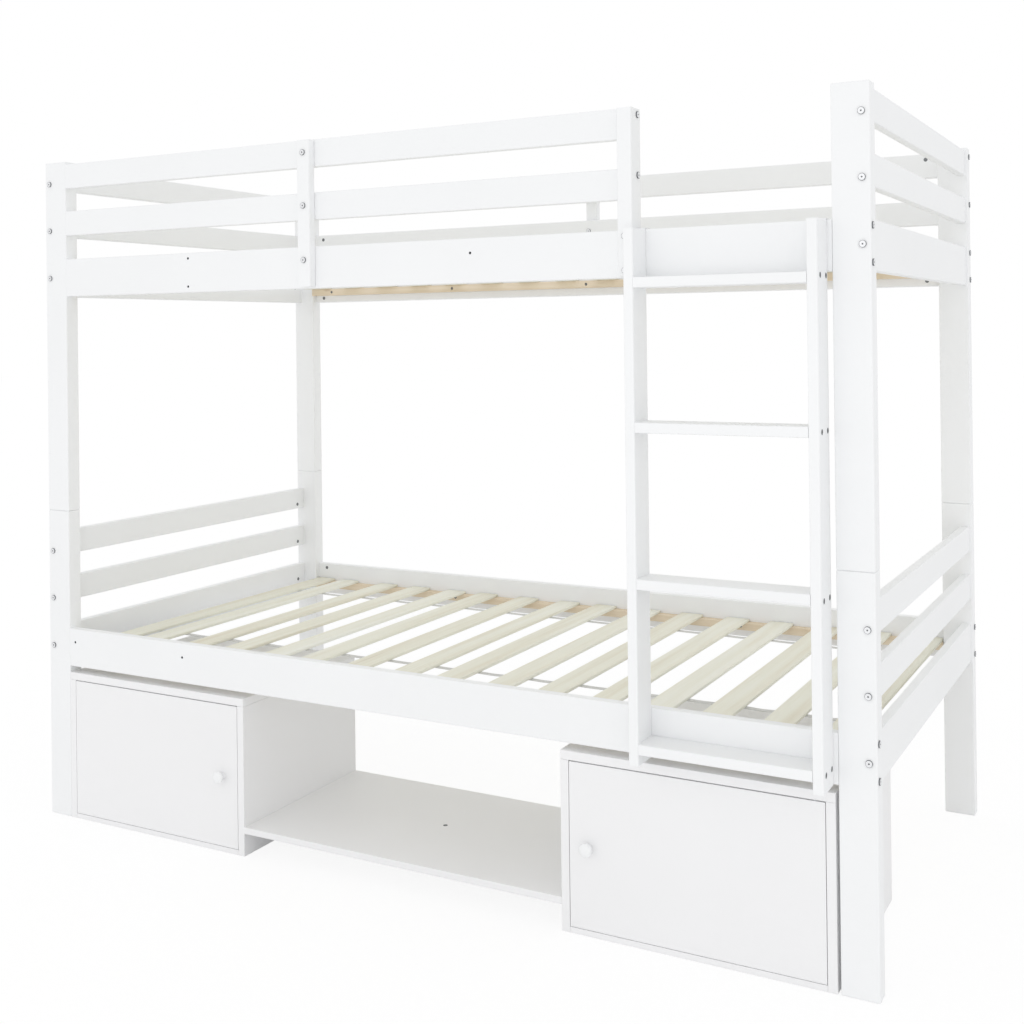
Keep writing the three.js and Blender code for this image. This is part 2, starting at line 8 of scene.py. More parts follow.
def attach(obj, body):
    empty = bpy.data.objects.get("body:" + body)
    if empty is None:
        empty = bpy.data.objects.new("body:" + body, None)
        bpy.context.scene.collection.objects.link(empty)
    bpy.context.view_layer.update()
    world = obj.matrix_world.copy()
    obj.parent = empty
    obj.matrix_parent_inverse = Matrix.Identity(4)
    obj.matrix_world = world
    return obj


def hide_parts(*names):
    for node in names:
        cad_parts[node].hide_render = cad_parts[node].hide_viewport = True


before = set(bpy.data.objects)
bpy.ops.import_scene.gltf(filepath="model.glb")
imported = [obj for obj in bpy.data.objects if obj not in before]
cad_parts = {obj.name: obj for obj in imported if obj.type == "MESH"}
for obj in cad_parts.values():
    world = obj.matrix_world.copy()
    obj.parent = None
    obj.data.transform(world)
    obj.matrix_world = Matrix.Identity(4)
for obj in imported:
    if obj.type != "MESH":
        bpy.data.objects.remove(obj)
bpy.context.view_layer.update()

# Lengths below are in millimetres, with the bed's own middle at Y zero. The ladder in front moves
# the frame's origin, so every point goes through place().
bedShift = 20.25
millimetre = 0.001
nearly = 0.01 * millimetre  # slack where corners are picked by their place
parallel = 0.99  # the cosine from which an edge counts as running along an axis
overcut = 2  # how far a cutting tool stands out of the face that it enters
axes = {"x": Vector((1, 0, 0)), "y": Vector((0, 1, 0)), "z": Vector((0, 0, 1))}
sides = {"front": -1, "back": 1}
ends = {"left": -1, "right": 1}
bunks = {"lower": 371, "upper": 1279.5}  # the height of each bunk's rails over the floor


def place(x, y, z):
    return Vector((x, y + bedShift, z)) * millimetre


# Fitted to the corners of the bed in the photograph. Angles are in degrees.
cameraLook = {"x": 1569.52, "y": -2673.77, "z": 1175.8, "yaw": 27.03, "pitch": 0.16, "roll": -0.67,
              "lens": 44.183, "sensor": 36, "shift": (-0.0652, -0.1785), "far": 100}


def makeCamera():
    yaw, pitch, roll = (math.radians(cameraLook[k]) for k in ("yaw", "pitch", "roll"))
    forward = Vector((-math.sin(yaw) * math.cos(pitch), math.cos(yaw) * math.cos(pitch), math.sin(pitch)))
    level = Vector((math.cos(yaw), math.sin(yaw), 0))
    plumb = level.cross(forward)
    right = level * math.cos(roll) + plumb * math.sin(roll)
    up = plumb * math.cos(roll) - level * math.sin(roll)
    data = bpy.data.cameras.new("camera")
    data.sensor_fit, data.sensor_width = "HORIZONTAL", cameraLook["sensor"]
    data.lens = cameraLook["lens"]
    data.shift_x, data.shift_y = cameraLook["shift"]
    data.clip_end = cameraLook["far"]
    camera = bpy.data.objects.new("camera", data)
    bpy.context.scene.collection.objects.link(camera)
    turn = Matrix((right, up, -forward)).transposed().to_4x4()
    camera.matrix_world = Matrix.Translation(place(*(cameraLook[k] for k in "xyz"))) @ turn
    bpy.context.scene.camera = camera


makeCamera()
print("camera placed")

white, black = (1, 1, 1, 1), (0, 0, 0, 1)


# One output socket of a node tree. Arithmetic on it adds Math nodes, and node() adds any other.
class Wire:
    def __init__(self, tree, socket=None):
        self.tree, self.socket = tree, socket

    def node(self, kind, settings=None, inputs=None, output=0):
        made = self.tree.nodes.new(kind)
        for key, value in (settings or {}).items():
            if key == "stops":  # a ramp starts with two, and a third one may lie between them
                for i, (at, colour) in enumerate(value):
                    stop = made.color_ramp.elements[i] if i < 2 else made.color_ramp.elements.new(at)
                    stop.position, stop.color = at, colour
            else:
                setattr(made, key, value)
        for key, value in (inputs or {}).items():
            if isinstance(value, Wire):
                self.tree.links.new(value.socket, made.inputs[key])
            else:
                made.inputs[key].default_value = value
        return Wire(self.tree, made.outputs[output] if made.outputs else None)

    def out(self, name):
        return Wire(self.tree, self.socket.node.outputs[name])

    def maths(self, operation, *values):
        return self.node("ShaderNodeMath", {"operation": operation}, dict(enumerate(values)))

    def __add__(self, other):
        return self.maths("ADD", self, other)

    def __sub__(self, other):
        return self.maths("SUBTRACT", self, other)

    def __rsub__(self, other):
        return self.maths("SUBTRACT", other, self)

    def __mul__(self, other):
        return self.maths("MULTIPLY", self, other)

    __radd__ = __add__
    __rmul__ = __mul__

    # A Mix node keeps its two colours in sockets 6 and 7, and gives the mixed one in output 2.
    def blend(self, first, second):
        return self.node("ShaderNodeMix", {"data_type": "RGBA"}, {0: self, 6: first, 7: second}, 2)

    def ramp(self, *stops):
        return self.node("ShaderNodeValToRGB", {"stops": stops}, {"Fac": self})

    def stretched(self, stretch):
        spot = self.node("ShaderNodeTexCoord", output="Object")
        return self.node("ShaderNodeMapping", None, {"Vector": spot, "Scale": stretch})

    def noise(self, scale, detail=4, stretch=(1, 1, 1), spot=None):
        inputs = {"Vector": spot or self.stretched(stretch), "Scale": scale, "Detail": detail}
        return self.node("ShaderNodeTexNoise", None, inputs)

    # Small spots for knots, one where each cell of the pattern has its middle.
    def spots(self, spot, scale, size):
        cells = self.node("ShaderNodeTexVoronoi", None, {"Vector": spot, "Scale": scale})
        return cells.ramp((0.0, white), (size, black))

    def rough(self, look):
        return look["roughness"] + look["roughSpread"] * self


def shade(red, green, blue):
    def linear(value):
        value /= 255
        return value / 12.92 if value <= 0.04045 else ((value + 0.055) / 1.055) ** 2.4
    return (linear(red), linear(green), linear(blue), 1)


def emptyTree(owner):
    owner.use_nodes = True
    owner.node_tree.nodes.clear()
    return Wire(owner.node_tree)


def newMaterial(name, fill, metal=0.0):
    material = bpy.data.materials.new(name)
    wire = emptyTree(material)
    inputs = fill(wire)
    if "height" in inputs:
        amount, depth = inputs.pop("height")
        inputs["Normal"] = wire.node("ShaderNodeBump", None, {"Height": amount, "Distance": depth})
    shader = wire.node("ShaderNodeBsdfPrincipled", None, {"Metallic": metal, **inputs})
    wire.node("ShaderNodeOutputMaterial", None, {"Surface": shader})
    return material


def along(axis, length, across):
    return tuple(length if name == axis else across for name in "xyz")


# Pattern scales in the looks are per metre, and a pair is along and across the grain. A relief is the
# depth of the bump in metres.
paintLook = {"colour": shade(245, 246, 247), "shadow": shade(239, 240, 241), "cloud": 2.2,
             "fibre": (7, 330), "ripple": 420, "fibreShare": 0.7, "relief": 0.00012,
             "roughness": 0.42, "roughSpread": 0.12, "sheen": 0.3}


def paintedWood(axis):
    def fill(wire):
        cloud = wire.noise(paintLook["cloud"], detail=3)
        fibre = wire.noise(1, detail=5, stretch=along(axis, *paintLook["fibre"]))
        ripple = wire.noise(paintLook["ripple"], detail=2)
        share = paintLook["fibreShare"]
        return {"Base Color": cloud.blend(paintLook["colour"], paintLook["shadow"]),
                "Roughness": fibre.rough(paintLook), "Specular IOR Level": paintLook["sheen"],
                "height": (fibre * share + ripple * (1 - share), paintLook["relief"])}
    return newMaterial(f"paint_{axis}", fill)


panelLook = {"colour": shade(242, 242, 243), "shadow": shade(238, 238, 239), "cloud": 3, "peel": 900,
             "relief": 0.00005, "roughness": 0.42, "roughSpread": 0.06}


def facedPanel(wire):
    peel = wire.noise(panelLook["peel"], detail=2)
    cloud = wire.noise(panelLook["cloud"], detail=2)
    return {"Base Color": cloud.blend(panelLook["colour"], panelLook["shadow"]),
            "Roughness": peel.rough(panelLook), "height": (peel, panelLook["relief"])}


pineLook = {"pale": shade(236, 222, 200), "dark": shade(220, 201, 172), "knot": shade(172, 142, 112),
            "tones": (0.35, 0.7), "rings": (1.6, 70), "fibre": (12, 700), "ringShare": 0.75,
            "knots": (9, 26), "knotScale": 0.6, "knotSize": 0.12, "knotDepth": 0.8,
            "relief": 0.0002, "roughness": 0.62, "roughSpread": 0.15}


def pineWood(wire):
    rings = wire.noise(1, stretch=along("x", *pineLook["rings"]))
    fibre = wire.noise(1, detail=5, stretch=along("x", *pineLook["fibre"]))
    knots = wire.stretched(along("x", *pineLook["knots"]))
    spots = wire.spots(knots, pineLook["knotScale"], pineLook["knotSize"])
    low, high = pineLook["tones"]
    grain = rings * pineLook["ringShare"] + fibre * (1 - pineLook["ringShare"])
    colour = grain.ramp((low, pineLook["pale"]), (high, pineLook["dark"]))
    return {"Base Color": (spots * pineLook["knotDepth"]).blend(colour, pineLook["knot"]),
            "Roughness": fibre.rough(pineLook), "height": (fibre, pineLook["relief"])}


# Each slat has a grain and a tone of its own. Its number is counted from first, by the pitch in metres,
# and turned into a random value, which moves the pattern by the jumps.
slatLook = {"pale": shade(240, 240, 231), "mid": shade(235, 234, 220), "dark": shade(223, 216, 196),
            "knot": shade(168, 144, 112), "tones": (0.3, 0.5, 0.72), "first": -1.006, "pitch": 0.12363,
            "rings": (1.3, 38), "jumps": (90, 7), "fibre": (9, 620), "shares": (0.6, 0.25, 0.15),
            "knotScale": 0.55, "knotSize": 0.09, "knotDepth": 0.7,
            "relief": 0.0002, "roughness": 0.6, "roughSpread": 0.15}


def slatWood(wire):
    spot = wire.node("ShaderNodeTexCoord", output="Object")
    x = wire.node("ShaderNodeSeparateXYZ", None, {0: spot})
    number = wire.maths("FLOOR", (x - slatLook["first"]) * (1 / slatLook["pitch"]))
    own = wire.node("ShaderNodeTexWhiteNoise", {"noise_dimensions": "1D"}, {"W": number})
    length, across = slatLook["rings"]
    sideways, upwards = slatLook["jumps"]
    moved = wire.node("ShaderNodeCombineXYZ", None, {
        0: x * across + own * sideways, 1: x.out("Y") * length, 2: own * upwards})
    rings = wire.noise(1, spot=moved)
    fibre = wire.noise(1, detail=5, stretch=along("y", *slatLook["fibre"]))
    spots = wire.spots(moved, slatLook["knotScale"], slatLook["knotSize"])
    ringShare, fibreShare, ownShare = slatLook["shares"]
    grain = rings * ringShare + fibre * fibreShare + own * ownShare
    low, middle, high = slatLook["tones"]
    colour = grain.ramp((low, slatLook["pale"]), (high, slatLook["dark"]), (middle, slatLook["mid"]))
    return {"Base Color": (spots * slatLook["knotDepth"]).blend(colour, slatLook["knot"]),
            "Roughness": fibre.rough(slatLook), "height": (fibre, slatLook["relief"])}


zincLook = {"pale": shade(240, 241, 242), "dark": shade(226, 227, 230), "spangle": 260,
            "roughness": 0.3, "roughSpread": 0.16}
# The darker steel colours the screws, barrel ends and inserts. On the bolt heads' rims and sockets it is
# painted shade.
steelLook = {"pale": shade(146, 148, 150), "dark": shade(112, 114, 118), "spangle": 300,
             "roughness": 0.4, "roughSpread": 0.15}


def spangledMetal(look):
    def fill(wire):
        spangle = wire.noise(look["spangle"], detail=3)
        return {"Base Color": spangle.blend(look["pale"], look["dark"]), "Roughness": spangle.rough(look)}
    return fill


webLook = {"gap": shade(206, 206, 203), "thread": shade(236, 236, 233), "weave": 320.0,
           "relief": 0.0003, "roughness": 0.8, "roughSpread": 0.1}


def wovenStrap(wire):
    spot = wire.node("ShaderNodeTexCoord", output="Object")
    warp, weft = (wire.node("ShaderNodeTexWave", {"bands_direction": axis},
                            {"Vector": spot, "Scale": webLook["weave"]}, "Fac") for axis in "YX")
    # Where the weave's product is low the gap colour shows: painted shade between the threads.
    return {"Base Color": (warp * weft).blend(webLook["gap"], webLook["thread"]),
            "Roughness": weft.rough(webLook), "height": (warp * 0.5 + weft * 0.5, webLook["relief"])}


finishes = {f"paint_{axis}": paintedWood(axis) for axis in axes}
finishes.update({
    "panel": newMaterial("panel", facedPanel),
    "pine": newMaterial("pine", pineWood),
    "slat": newMaterial("slat", slatWood),
    "zinc": newMaterial("zinc", spangledMetal(zincLook), 1.0),
    "steel": newMaterial("steel", spangledMetal(steelLook), 1.0),
    "webbing": newMaterial("webbing", wovenStrap),
})
print("finishes made")


def pick(*objs):
    bpy.ops.object.select_all(action="DESELECT")
    for obj in objs:
        obj.select_set(True)
    bpy.context.view_layer.objects.active = objs[0]


def named(name):
    obj = bpy.context.object
    obj.name = obj.data.name = name
    bpy.ops.object.transform_apply(location=True, rotation=True, scale=True)
    return obj


def block(name, low, high):
    bpy.ops.object.select_all(action="DESELECT")
    low, high = place(*low), place(*high)
    bpy.ops.mesh.primitive_cube_add(size=1, location=(low + high) / 2, scale=high - low)
    return named(name)


def turnTo(axis, way):
    return axes["z"].rotation_difference(axes[axis] * way).to_matrix().to_4x4()


# A round bar through its seat, with one length of it above and one below, as seen along its axis.
def roundBar(name, seat, axis, way, radius, above, below, corners=24):
    bpy.ops.object.select_all(action="DESELECT")
    middle = place(*seat) + axes[axis] * way * (above - below) / 2 * millimetre
    bpy.ops.mesh.primitive_cylinder_add(vertices=corners, radius=radius * millimetre,
                                        depth=(above + below) * millimetre, location=middle,
                                        rotation=turnTo(axis, way).to_euler())
    return named(name)


# Opens a piece in edit mode with only the edges or faces selected whose corners pass the test.
def openWith(obj, kind, chosen):
    pick(obj)
    bpy.ops.object.mode_set(mode="EDIT")
    bpy.ops.mesh.select_mode(type=kind)
    bpy.ops.mesh.select_all(action="DESELECT")
    bpy.ops.object.mode_set(mode="OBJECT")
    points = obj.data.vertices
    for element in (obj.data.edges if kind == "EDGE" else obj.data.polygons):
        element.select = chosen([points[i].co for i in element.vertices])
    bpy.ops.object.mode_set(mode="EDIT")


def close():
    bpy.ops.object.mode_set(mode="OBJECT")


# The tests for openWith. Each takes the corners of one edge or face.
def everything(corners):
    return True


def runsAlong(axis):
    return lambda corners: abs((corners[1] - corners[0]).normalized().dot(axes[axis])) > parallel


def beyond(axis, level, way=1):
    limit = place(level, level, level).dot(axes[axis])
    return lambda corners: all(way * (co.dot(axes[axis]) - limit) > -nearly for co in corners)


def inside(radius):
    return lambda corners: all(co.xy.length < radius * millimetre + nearly for co in corners)


def outside(radius):
    return lambda corners: all(co.xy.length > radius * millimetre - nearly for co in corners)


def both(first, second):
    return lambda corners: first(corners) and second(corners)


def either(first, second):
    return lambda corners: first(corners) or second(corners)


def easeEdges(obj, radius, chosen, steps=3):
    openWith(obj, "EDGE", chosen)
    bpy.ops.mesh.bevel(offset=radius * millimetre, segments=steps, affect="EDGES")
    close()


def drawOut(x, y, z):
    offset = Vector((x, y, z)) * millimetre
    bpy.ops.mesh.extrude_region_move(TRANSFORM_OT_translate={"value": offset})


def combine(objs):
    pick(*objs)
    if len(objs) > 1:
        bpy.ops.object.join()
    return objs[0]


def cutOut(obj, tools):
    tool = combine(tools)
    change = obj.modifiers.new("cut", "BOOLEAN")
    change.operation, change.solver, change.object = "DIFFERENCE", "EXACT", tool
    pick(obj)
    bpy.ops.object.modifier_apply(modifier="cut")
    bpy.data.objects.remove(tool)


def smooth(obj, degrees=40):
    pick(obj)
    bpy.ops.object.shade_smooth_by_angle(angle=math.radians(degrees))
    change = obj.modifiers.new("normals", "WEIGHTED_NORMAL")
    change.keep_sharp = True
    bpy.ops.object.modifier_apply(modifier="normals")


def dress(obj, finish, body="bed", nodes=()):
    obj.data.materials.clear()
    obj.data.materials.append(finishes[finish])
    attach(obj, body)
    if nodes:
        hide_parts(*nodes)


# Each fitting is modelled once, with its seat at the frame's origin, and copied.
origin = (0, -bedShift, 0)


# Zinc all over, and the darker steel on the faces that pass the test. The steel is the fittings' own colour,
# and on the bolt heads' rims and sockets and inside the inserts it is also painted shade.
def plated(obj, steelAndShade):
    smooth(obj, degrees=30)
    for finish in ("zinc", "steel"):
        obj.data.materials.append(finishes[finish])
    openWith(obj, "FACE", steelAndShade)
    obj.active_material_index = 1
    bpy.ops.object.material_slot_assign()
    close()
    return obj


# Inside its rim the head has a shallow dish, whose slope and depth are shares of the rim's width.
boltSizes = {"radius": 6.5, "height": 2.5, "corners": 32, "ease": 0.5, "rim": 0.65, "slope": 0.5,
             "dish": 0.2, "socket": 1.7, "socketDepth": 1.6}


def boltHead():
    radius, height, rim = (boltSizes[k] for k in ("radius", "height", "rim"))
    head = roundBar("bolt_head", origin, "z", 1, radius, height, 0, boltSizes["corners"])
    top = beyond("z", height)
    openWith(head, "FACE", top)
    bpy.ops.mesh.inset(thickness=rim * millimetre)
    bpy.ops.mesh.inset(thickness=rim * millimetre * boltSizes["slope"])
    bpy.ops.transform.translate(value=(0, 0, -rim * millimetre * boltSizes["dish"]))
    close()
    easeEdges(head, boltSizes["ease"], both(top, outside(radius)), steps=4)
    seat, socket = (0, -bedShift, height), boltSizes["socket"]
    cutOut(head, [roundBar("tool", seat, "z", 1, socket, overcut, boltSizes["socketDepth"], corners=6)])
    # The rim and the socket take the darker steel: a painted shade ring round the head, and painted shade in
    # the socket.
    return plated(head, either(outside(radius - rim), inside(socket)))


screwSizes = {"radius": 3.8, "slot": 1.0, "height": 0.7, "root": 0.2, "reach": 0.62}
wideScrewSizes = {**screwSizes, "radius": 5.3, "slot": 1.4}


def screwHead(sizes):
    head = roundBar("screw_head", origin, "z", 1, sizes["radius"], sizes["height"], sizes["root"])
    half, length = sizes["slot"] / 2, sizes["radius"] * sizes["reach"]
    for x, y in ((half, length), (length, half)):
        cutOut(head, [block("tool", (-x, -y - bedShift, 0), (x, y - bedShift, sizes["height"] + overcut))])
    return plated(head, everything)


barrelSizes = {"radius": 4.8, "depth": 0.9, "slot": 1.0, "slotDepth": 0.7}


def barrelEnd():
    nut = roundBar("barrel_end", origin, "z", 1, barrelSizes["radius"], 0, barrelSizes["depth"])
    half, reach = barrelSizes["slot"] / 2, barrelSizes["radius"] + overcut
    cutOut(nut, [block("tool", (-half, -reach - bedShift, -barrelSizes["slotDepth"]),
                       (half, reach - bedShift, overcut))])
    return plated(nut, everything)


insertSizes = {"radius": 2.95, "depth": 9, "corners": 20, "bore": 2.0, "boreDepth": 8, "boreCorners": 16}


def insertCup():
    cup = roundBar("insert_cup", origin, "z", 1, insertSizes["radius"], 0, insertSizes["depth"],
                   insertSizes["corners"])
    cutOut(cup, [roundBar("tool", origin, "z", 1, insertSizes["bore"], overcut, insertSizes["boreDepth"],
                          insertSizes["boreCorners"])])
    # The insert is darker steel, its own colour, which also paints the shade inside the hole.
    return plated(cup, everything)


patterns = {"bolt": boltHead(), "barrel": barrelEnd(), "insert": insertCup(),
            "screw": screwHead(screwSizes), "wideScrew": screwHead(wideScrewSizes)}
spins = random.Random(7)


# Copies of one fitting, each turned by chance about its own axis. A seat is a point, an axis and the way
# along that axis that the fitting faces.
def fittings(name, kind, seats, body="bed"):
    if not seats:
        return
    copies = []
    for x, y, z, axis, way in seats:
        copied = patterns[kind].copy()
        copied.data = patterns[kind].data.copy()
        bpy.context.scene.collection.objects.link(copied)
        spin = Matrix.Rotation(spins.uniform(0, math.tau), 4, "Z")
        copied.data.transform(Matrix.Translation(place(x, y, z)) @ turnTo(axis, way) @ spin)
        copies.append(copied)
    whole = combine(copies)
    whole.name = whole.data.name = name
    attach(whole, body)


# The same seats at the bottom of pockets of that depth.
def sunk(seats, depth):
    moved = []
    for x, y, z, axis, way in seats:
        step = axes[axis] * way * depth
        moved.append((x - step.x, y - step.y, z - step.z, axis, way))
    return moved


def asPockets(seats, radius, depth):
    return [(seat, radius, depth) for seat in seats]


print("fittings modelled")


def span(first, second):
    return min(first, second), max(first, second)


# A board whose edges are eased along the grain, or all of them. A recess gives the two corners of a block
# that is cut out of it.
def plank(node, xs, ys, zs, axis, edge, finish="paint", pockets=(), allEdges=False, recess=None):
    board = block(f"{node}_wood", *zip(span(*xs), span(*ys), span(*zs)))
    easeEdges(board, edge, everything if allEdges else runsAlong(axis))
    if pockets:
        cutOut(board, [roundBar("tool", seat[:3], seat[3], seat[4], radius, overcut, depth)
                       for seat, radius, depth in pockets])
    if recess:
        cutOut(board, [block("tool", *recess)])
    smooth(board)
    dress(board, f"paint_{axis}" if finish == "paint" else finish, nodes=(node,))


timber = {"halfLength": 1030, "halfWidth": 490, "postWidth": 70, "postDepth": 35, "postEdge": 2.2,
          "lowerPost": (0, 751), "upperPost": (751, 1612), "board": 20, "boardEdge": 2.4, "rail": 92,
          "boardHeight": 60, "endInset": 5, "railBolts": (0.15, 0.86), "guardBolt": 0.77, "nutSetback": 31,
          "nutRadius": 5, "nutDepth": 1, "spareRadius": 3, "spareDepth": 12}
# For each level its rise over the bunk's rails' foot, the board's own height, and the share of that height at
# which its end bolts are.
levels = {"rail": (0, timber["rail"], 0.5), "mid_board": (150, timber["boardHeight"], 0.22),
          "top_board": (266, timber["boardHeight"], 0.22)}
# Spare holes in the front rails, as places along the bed and heights over the floor.
spares = {"upper_front_rail": [(-559.5, 1293.3), (-559.5, 1358.62), (208.5, 1341.14)],
          "lower_front_rail": [(-591, 430.8), (-941.5, 430.8)]}
gate = {"left": 550.5, "right": 581, "back": -466, "front": -510, "nutSetback": 61.5}
postInner = timber["halfLength"] - timber["postWidth"]
postBack = timber["halfWidth"] - timber["postDepth"]
innerFace = timber["halfWidth"] - timber["board"]
boltLine = timber["halfWidth"] - timber["board"] / 2
endFace = timber["halfLength"] - timber["endInset"] - timber["board"]


def nutPockets(seats):
    return asPockets(seats, timber["nutRadius"], timber["nutDepth"])


def posts(bunk, sideName, side):
    for endName, end in ends.items():
        plank(f"{bunk}_post_{sideName}_{endName}", (end * postInner, end * timber["halfLength"]),
              (side * postBack, side * timber["halfWidth"]), timber[f"{bunk}Post"], "z",
              timber["postEdge"], allEdges=True)


# A board along the bed, from the left posts to its right end. Bolts come in through the posts at its ends,
# and the ends of their nuts show on its inner face.
def sideBoard(node, side, right, base, height, heights, boardEnds, extra=()):
    heads, nuts = [], []
    for end in boardEnds:
        for z in heights:
            heads.append((end * timber["halfLength"], side * boltLine, z, "x", end))
            nuts.append((end * (postInner - timber["nutSetback"]), side * innerFace, z, "y", -side))
    plank(node, (-postInner, right), (side * innerFace, side * timber["halfWidth"]), (base, base + height),
          "x", timber["boardEdge"], pockets=nutPockets(nuts) + extra)
    return heads, nuts


def sideRail(bunk, sideName, side, base):
    node = f"{bunk}_{sideName}_rail"
    heights = [base + share * timber["rail"] for share in timber["railBolts"]]
    holes = [(x, -timber["halfWidth"], z, "y", -1) for x, z in spares.get(node, ())]
    heads, nuts = sideBoard(node, side, postInner, base, timber["rail"], heights, ends.values(),
                            asPockets(holes, timber["spareRadius"], timber["spareDepth"]))
    fittings(f"{node}_bolts", "bolt", heads)
    fittings(f"{node}_nuts", "barrel", nuts)
    fittings(f"{node}_inserts", "insert", holes)


def endBoard(bunk, endName, end, base, level):
    node = f"{bunk}_{endName}_{level}"
    rise, height, share = levels[level]
    z = base + rise + share * height
    middle, nutY = end * (endFace + timber["board"] / 2), postBack - timber["nutSetback"]
    heads = [(middle, side * timber["halfWidth"], z, "y", side) for side in sides.values()]
    nuts = [(end * endFace, side * nutY, z, "x", -end) for side in sides.values()]
    plank(node, (end * endFace, end * (endFace + timber["board"])), (-postBack, postBack),
          (base + rise, base + rise + height), "y", timber["boardEdge"], pockets=nutPockets(nuts))
    fittings(f"{node}_bolts", "bolt", heads)
    fittings(f"{node}_nuts", "barrel", nuts)


# The front guards stop at the gate upright, which has a bolt of its own into each.
def guardBoard(sideName, side, level):
    node = f"{sideName}_guard_{level}"
    rise, height = levels[f"{level}_board"][:2]
    base = bunks["upper"] + rise
    z = base + timber["guardBolt"] * height
    right, boardEnds, gateHeads, gateNuts = postInner, ends.values(), [], []
    if sideName == "front":
        right, boardEnds = gate["left"], (ends["left"],)
        gateHeads = [(gate["right"], -boltLine, z, "x", 1)]
        gateNuts = [(gate["right"] - gate["nutSetback"], -innerFace, z, "y", 1)]
    heads, nuts = sideBoard(node, side, right, base, height, [z], boardEnds, nutPockets(gateNuts))
    fittings(f"{node}_bolts", "bolt", heads + gateHeads)
    fittings(f"{node}_nuts", "barrel", nuts + gateNuts)


for bunk, base in bunks.items():
    for sideName, side in sides.items():
        posts(bunk, sideName, side)
        sideRail(bunk, sideName, side, base)
    for endName, end in ends.items():
        for level in levels:
            endBoard(bunk, endName, end, base, level)
for level in ("mid", "top"):
    for sideName, side in sides.items():
        guardBoard(sideName, side, level)
print("posts and boards modelled")

upright = {"half": 16.75, "thick": 20, "foot": 1283, "top": 1603, "places": {"front": -204.5, "back": 0},
           "bolts": (1341.14, 1459.5, 1575.5), "gateBolts": (1293.3, 1358.62)}
outerFace = timber["halfWidth"] + upright["thick"]
railTop = bunks["upper"] + timber["rail"]


# A bolt head outside and a sleeve nut's head on the board's inner face.
def throughBolts(x, side, heights):
    return [(x, side * y, z, "y", side * way) for z in heights
            for y, way in ((outerFace, 1), (innerFace, -1))]


def guardUpright(sideName, side):
    x, half = upright["places"][sideName], upright["half"]
    plank(f"{sideName}_upright", (x - half, x + half), (side * timber["halfWidth"], side * outerFace),
          (upright["foot"], upright["top"]), "z", timber["boardEdge"])
    fittings(f"{sideName}_upright_bolts", "bolt", throughBolts(x, side, upright["bolts"]))


# The front guards end at the gate upright, which is deeper than they are. Its foot is cut back to the front
# face of the rail.
def gateUpright():
    post = block("gate_upright_wood", (gate["left"], gate["front"], upright["foot"]),
                 (gate["right"], gate["back"], upright["top"]))
    easeEdges(post, timber["boardEdge"], runsAlong("z"))
    cutOut(post, [block("tool", (gate["left"] - overcut, -timber["halfWidth"], upright["foot"] - overcut),
                        (gate["right"] + overcut, gate["back"] + overcut, railTop))])
    smooth(post)
    dress(post, "paint_z", nodes=("gate_upright",))
    middle = (gate["left"] + gate["right"]) / 2
    fittings("gate_upright_bolts", "bolt", throughBolts(middle, -1, upright["gateBolts"]))


for sideName, side in sides.items():
    guardUpright(sideName, side)
gateUpright()
print("uprights modelled")

# Rungs and screws are given as shares: the rungs of the ladder's height, the screws of a stile's depth,
# and how far up each rung its screws sit.
ladder = {"left": 581, "width": 370.5, "stile": 20, "depth": 63, "foot": 371, "top": 1370, "rung": 20,
          "rungs": (0.0405, 0.347, 0.638, 0.908), "screws": (0.27, 0.84),
          "screwRises": (0.5, 0.32, 0.48, 0.68), "pocket": 5.5, "pocketDepth": 1, "bolt": 430.8}
hookSizes = {"width": 18, "plate": 2.5, "drop": 26, "play": 0.3, "bend": 1.8, "edge": 0.4}
halfStile = ladder["stile"] / 2
stiles = {"left": ladder["left"] + halfStile, "right": ladder["left"] + ladder["width"] - halfStile}
rungTops = [ladder["foot"] + share * (ladder["top"] - ladder["foot"]) for share in ladder["rungs"]]
ladderBack = -timber["halfWidth"]
ladderFront = ladderBack - ladder["depth"]
hookFoot = railTop - hookSizes["drop"]


# The hook is a flat bar over the rail. Its two ends are drawn down, the front one into the stile's back.
def ladderHook(name, x):
    half, plate = hookSizes["width"] / 2, hookSizes["plate"]
    front, back = ladderBack - plate, hookSizes["play"] - innerFace + plate
    hook = block(f"ladder_hook_{name}_bent", (x - half, front, railTop), (x + half, back, railTop + plate))
    for cut in (front + plate, back - plate):
        openWith(hook, "EDGE", everything)
        bpy.ops.mesh.bisect(plane_co=place(x, cut, railTop), plane_no=axes["y"])
        close()
    tips = either(beyond("y", front + plate, -1), beyond("y", back - plate))
    openWith(hook, "FACE", both(beyond("z", railTop, -1), tips))
    drawOut(0, 0, -hookSizes["drop"])
    close()
    bends = either(beyond("y", front, -1), beyond("y", back))
    easeEdges(hook, hookSizes["bend"], both(beyond("z", railTop + plate), bends), steps=4)
    easeEdges(hook, hookSizes["edge"], beyond("z", hookFoot, -1), steps=2)
    smooth(hook)
    dress(hook, "zinc", nodes=(f"ladder_hook_{name}",))


